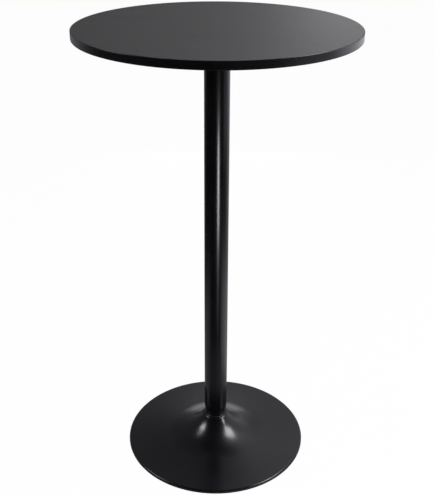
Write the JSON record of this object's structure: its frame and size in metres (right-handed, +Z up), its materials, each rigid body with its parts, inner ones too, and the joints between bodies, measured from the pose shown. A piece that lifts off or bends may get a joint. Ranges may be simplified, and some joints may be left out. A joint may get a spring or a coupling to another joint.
{
  "type": "pub table",
  "caption": "Bar-height pub table with a round laminate top, one round steel column and a spun trumpet base on a floor ring.",
  "frame": {"origin": "on the floor, under the middle of the column", "axes": "+Z up along the column, +X to the right and -Y towards the viewer of the picture"},
  "size_m": [0.6, 0.6, 1.05],
  "materials": {
    "laminate": "matte black laminate with a fine grain",
    "board": "raw fibreboard",
    "edge_strip": "satin black edge strip",
    "powder_coat": "semi-gloss black powder coat on steel",
    "plated_steel": "zinc-plated steel",
    "bush_plastic": "moulded black plastic",
    "floor_rubber": "soft black edging"
  },
  "bodies": {
    "root": {"top_laminate": "laminate", "top_core": "board", "backing_laminate": "laminate", "edge_band": "edge_strip", "threaded_inserts": "plated_steel", "mounting_plate": "powder_coat", "plate_weld": "powder_coat", "plate_washers": "plated_steel", "plate_screws": "plated_steel", "column_tube": "powder_coat", "foot_plug": "powder_coat", "anchor_nut": "plated_steel", "neck_bush": "bush_plastic", "base_shell": "powder_coat", "base_bridge": "powder_coat", "bridge_welds": "powder_coat", "base_bolt": "plated_steel", "bolt_washer": "plated_steel", "lock_washer": "plated_steel", "floor_ring": "floor_rubber"}
  },
  "joints": []
}
